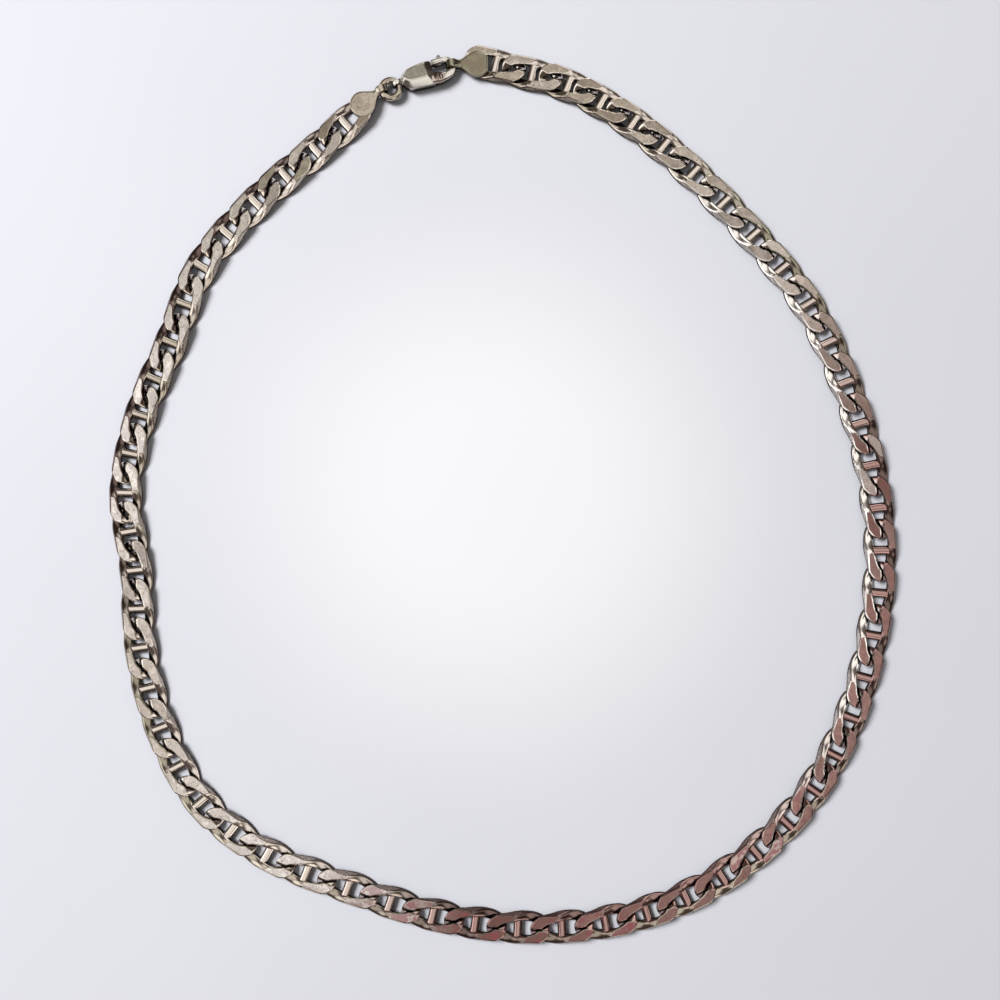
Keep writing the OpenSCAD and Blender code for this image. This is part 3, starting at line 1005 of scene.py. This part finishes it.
def silver_material(name, tones):
    """Worn silver: clean metal above, brown and black in the recesses and low down, part tarnish and part painted
    shade.
    """
    material, t, where = new_material(name)
    grain = t.noise(where, *GRAIN)
    # Tarnish and painted shade from the mesh, broken up by grain
    shade_and_tarnish_level = t.math("ADD", t.layer("tarnish_and_shade"), t.math("MULTIPLY", t.math("SUBTRACT", grain, 0.5), 0.4))
    brown = t.smooth(shade_and_tarnish_level, *BROWN_FROM)
    metal = clean_metal(t, where, tones)
    metal = t.mix(brown, metal, t.mix(BROWN_SHINE, BROWN_TARNISH_AND_SHADE, metal))
    metal = t.mix(t.smooth(shade_and_tarnish_level, *BLACK_FROM), metal, BLACK_TARNISH_AND_SHADE)
    dull = t.math("ADD", t.math("MULTIPLY", t.layer("film"), FILM_DULLS), t.math("MULTIPLY", brown, BROWN_DULLS))
    rough = t.math("ADD", dull, t.smooth(grain, 0.3, 0.7, *POLISH))
    finish_material(t, {"Base Color": metal, "Metallic": 1.0, "Roughness": rough,
                        "Normal": silver_relief(t, where, grain)})
    return material


def steel_material():
    """Dull steel of the rivet, with fine grain."""
    material, t, where = new_material("rivet_steel")
    grain = t.noise(where, *STEEL_GRAIN)
    metal = t.mix(t.smooth(grain, 0.35, 0.7), LIGHT_STEEL, DARK_STEEL)
    bump = t.node("ShaderNodeBump", {"Strength": 0.3, "Distance": 0.00002, "Height": grain}).outputs[0]
    finish_material(t, {"Base Color": metal, "Metallic": 1.0, "Normal": bump,
                        "Roughness": t.smooth(grain, 0.3, 0.7, 0.25, 0.4)})
    return material


def floor_material():
    """Pale board with faint clouds, and a painted pool of light that makes it a little lighter in the middle of the
    loop.
    """
    material, t, where = new_material("pale_board")
    colour = t.mix(t.noise(where, *FLOOR_CLOUDS), FLOOR_DARKER, FLOOR_LIGHTER)
    far = t.node("ShaderNodeVectorMath", {0: where}, operation="LENGTH").outputs["Value"]
    # Painted pool of light in the middle of the loop
    colour = t.mix(t.smooth(far, *MIDDLE_REACH, MIDDLE_SHARE, 0.0), colour, FLOOR_PAINTED_LIGHT)
    finish_material(t, {"Base Color": colour, "Roughness": 0.75, "Specular IOR Level": 0.2})
    return material


def build_floor():
    """A wide sheet of board at height 0 that the necklace lies on."""
    half = FLOOR_SIDE / 2
    mesh = bpy.data.meshes.new("floor")
    mesh.from_pydata([(-half, -half, 0), (half, -half, 0), (half, half, 0), (-half, half, 0)], [], [(0, 1, 2, 3)])
    mesh.materials.append(floor_material())
    floor = bpy.data.objects.new("floor", mesh)
    bpy.context.scene.collection.objects.link(floor)


def direction(azimuth, elevation):
    """Unit vector towards a point of the sky."""
    a, e = math.radians(azimuth), math.radians(elevation)
    return Vector((math.cos(a) * math.cos(e), math.sin(a) * math.cos(e), math.sin(e)))


def room_light(t, ray):
    """What the room gives along a ray: the high ring, the patches and the dim warm rest."""
    up = t.node("ShaderNodeSeparateXYZ", {0: ray}).outputs["Z"]
    rise, fall = [[math.sin(math.radians(e)) for e in band] for band in (RING_FROM, RING_TO)]
    ring = t.math("MULTIPLY", t.smooth(up, rise[0], rise[1]), t.smooth(up, fall[1], fall[0]))
    light = t.total(t.scaled(RING_COLOUR, t.math("MULTIPLY", ring, RING_LIGHT)), ROOM_DARK)
    for azimuth, elevation, inner, outer, colour, strength in ROOM_PATCHES:
        facing = t.along(ray, direction(azimuth, elevation))
        edge, full = math.cos(math.radians(outer)), math.cos(math.radians(inner))
        light = t.total(light, t.scaled(colour, t.smooth(facing, edge, full, 0.0, strength)))
    return light


def build_room():
    """World of the scene: the room's light, less of it for the floor, and a plain pale backdrop."""
    world = bpy.data.worlds.new("room")
    bpy.context.scene.world = world
    world.use_nodes = True
    t = Tree(world.node_tree)
    light = room_light(t, t.node("ShaderNodeTexCoord").outputs["Generated"])
    path = t.node("ShaderNodeLightPath").outputs
    fill = t.math("SUBTRACT", 1.0, t.math("MULTIPLY", path["Is Diffuse Ray"], 1 - FLOOR_SHARE))
    colour = t.mix(path["Is Camera Ray"], t.scaled(light, fill), BACKDROP)
    background = t.node("ShaderNodeBackground", {"Color": colour, "Strength": 1.0})
    t.node("ShaderNodeOutputWorld", {"Surface": background.outputs[0]})


def build_camera():
    """Camera that looks straight down on the loop."""
    data = bpy.data.cameras.new("camera")
    data.lens = CAMERA_LENS
    data.sensor_width = SENSOR
    data.clip_start = 0.01
    data.clip_end = 10
    camera = bpy.data.objects.new("camera", data)
    camera.location = CAMERA_AT * MM
    bpy.context.scene.collection.objects.link(camera)
    bpy.context.scene.camera = camera


def build_softbox():
    """One wide soft light from the upper left, which the silver doesn't mirror."""
    data = bpy.data.lights.new("softbox", "AREA")
    data.shape = "RECTANGLE"
    data.size = SOFTBOX_SIDE
    data.size_y = SOFTBOX_SIDE
    data.energy = SOFTBOX_WATTS
    light = bpy.data.objects.new("softbox", data)
    light.location = Vector(SOFTBOX_AT)
    light.visible_glossy = False
    light.rotation_mode = "QUATERNION"
    light.rotation_quaternion = light.location.to_track_quat("Z", "Y")
    bpy.context.scene.collection.objects.link(light)


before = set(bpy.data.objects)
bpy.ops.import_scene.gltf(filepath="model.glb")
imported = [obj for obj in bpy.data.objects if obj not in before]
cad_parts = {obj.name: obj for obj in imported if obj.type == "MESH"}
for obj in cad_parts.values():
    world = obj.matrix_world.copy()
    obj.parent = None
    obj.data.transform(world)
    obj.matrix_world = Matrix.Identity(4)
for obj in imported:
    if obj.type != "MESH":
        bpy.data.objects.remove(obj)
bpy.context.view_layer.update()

bpy.context.scene.view_settings.view_transform = "Standard"
build_camera()
build_room()
build_softbox()
build_floor()

chain_silver = silver_material("chain_silver", chain_tones)
fitting_silver = silver_material("fitting_silver", chain_tones)
clasp_silver = silver_material("clasp_silver", clasp_tones)
rivet_steel = steel_material()

new_piece("links_right", string_of_links(range(1, MIDDLE_LINK + 1)), chain_silver,
          "necklace", ["chain_right"])
new_piece("links_left", string_of_links(range(MIDDLE_LINK + 1, LAST_LINK)), chain_silver,
          "necklace", ["chain_left"])

hook_eye_at = CLASP_AT.xy + (Matrix.Rotation(CLASP_TURN, 2) @ HOOK_SEAT)
left_eye_at = RING_AT.xy + Vector((math.cos(LEFT_EYE_ANGLE), math.sin(LEFT_EYE_ANGLE))) * RING_R
end_right = end_link(0, RIGHT_DISC_AT, hook_eye_at, eye_turn=CLASP_TURN / 2, eye_w=RIGHT_EYE_W, toward=1,
                     blunt=RIGHT_BLUNT, seed=0.9)
end_left = end_link(LAST_LINK, LEFT_DISC_AT, left_eye_at, eye_turn=LEFT_EYE_TURN, eye_w=LEFT_EYE_W, toward=-1,
                    blunt=LEFT_BLUNT, seed=0.1)
new_piece("end_right", end_right, fitting_silver, "necklace", ["end_link_right"])
new_piece("end_left", end_left, fitting_silver, "necklace", ["end_link_left"])
new_piece("ring", jump_ring(), fitting_silver, "necklace", ["jump_ring"])
new_piece("clasp", in_clasp_frame(clasp_body()), clasp_silver, "necklace", ["clasp_body"])
new_piece("clasp_lever_bar", in_clasp_frame(lever()), clasp_silver, "lever", ["clasp_lever"])
new_piece("clasp_rivet", in_clasp_frame(pin()), rivet_steel, "necklace", ["clasp_pin"])
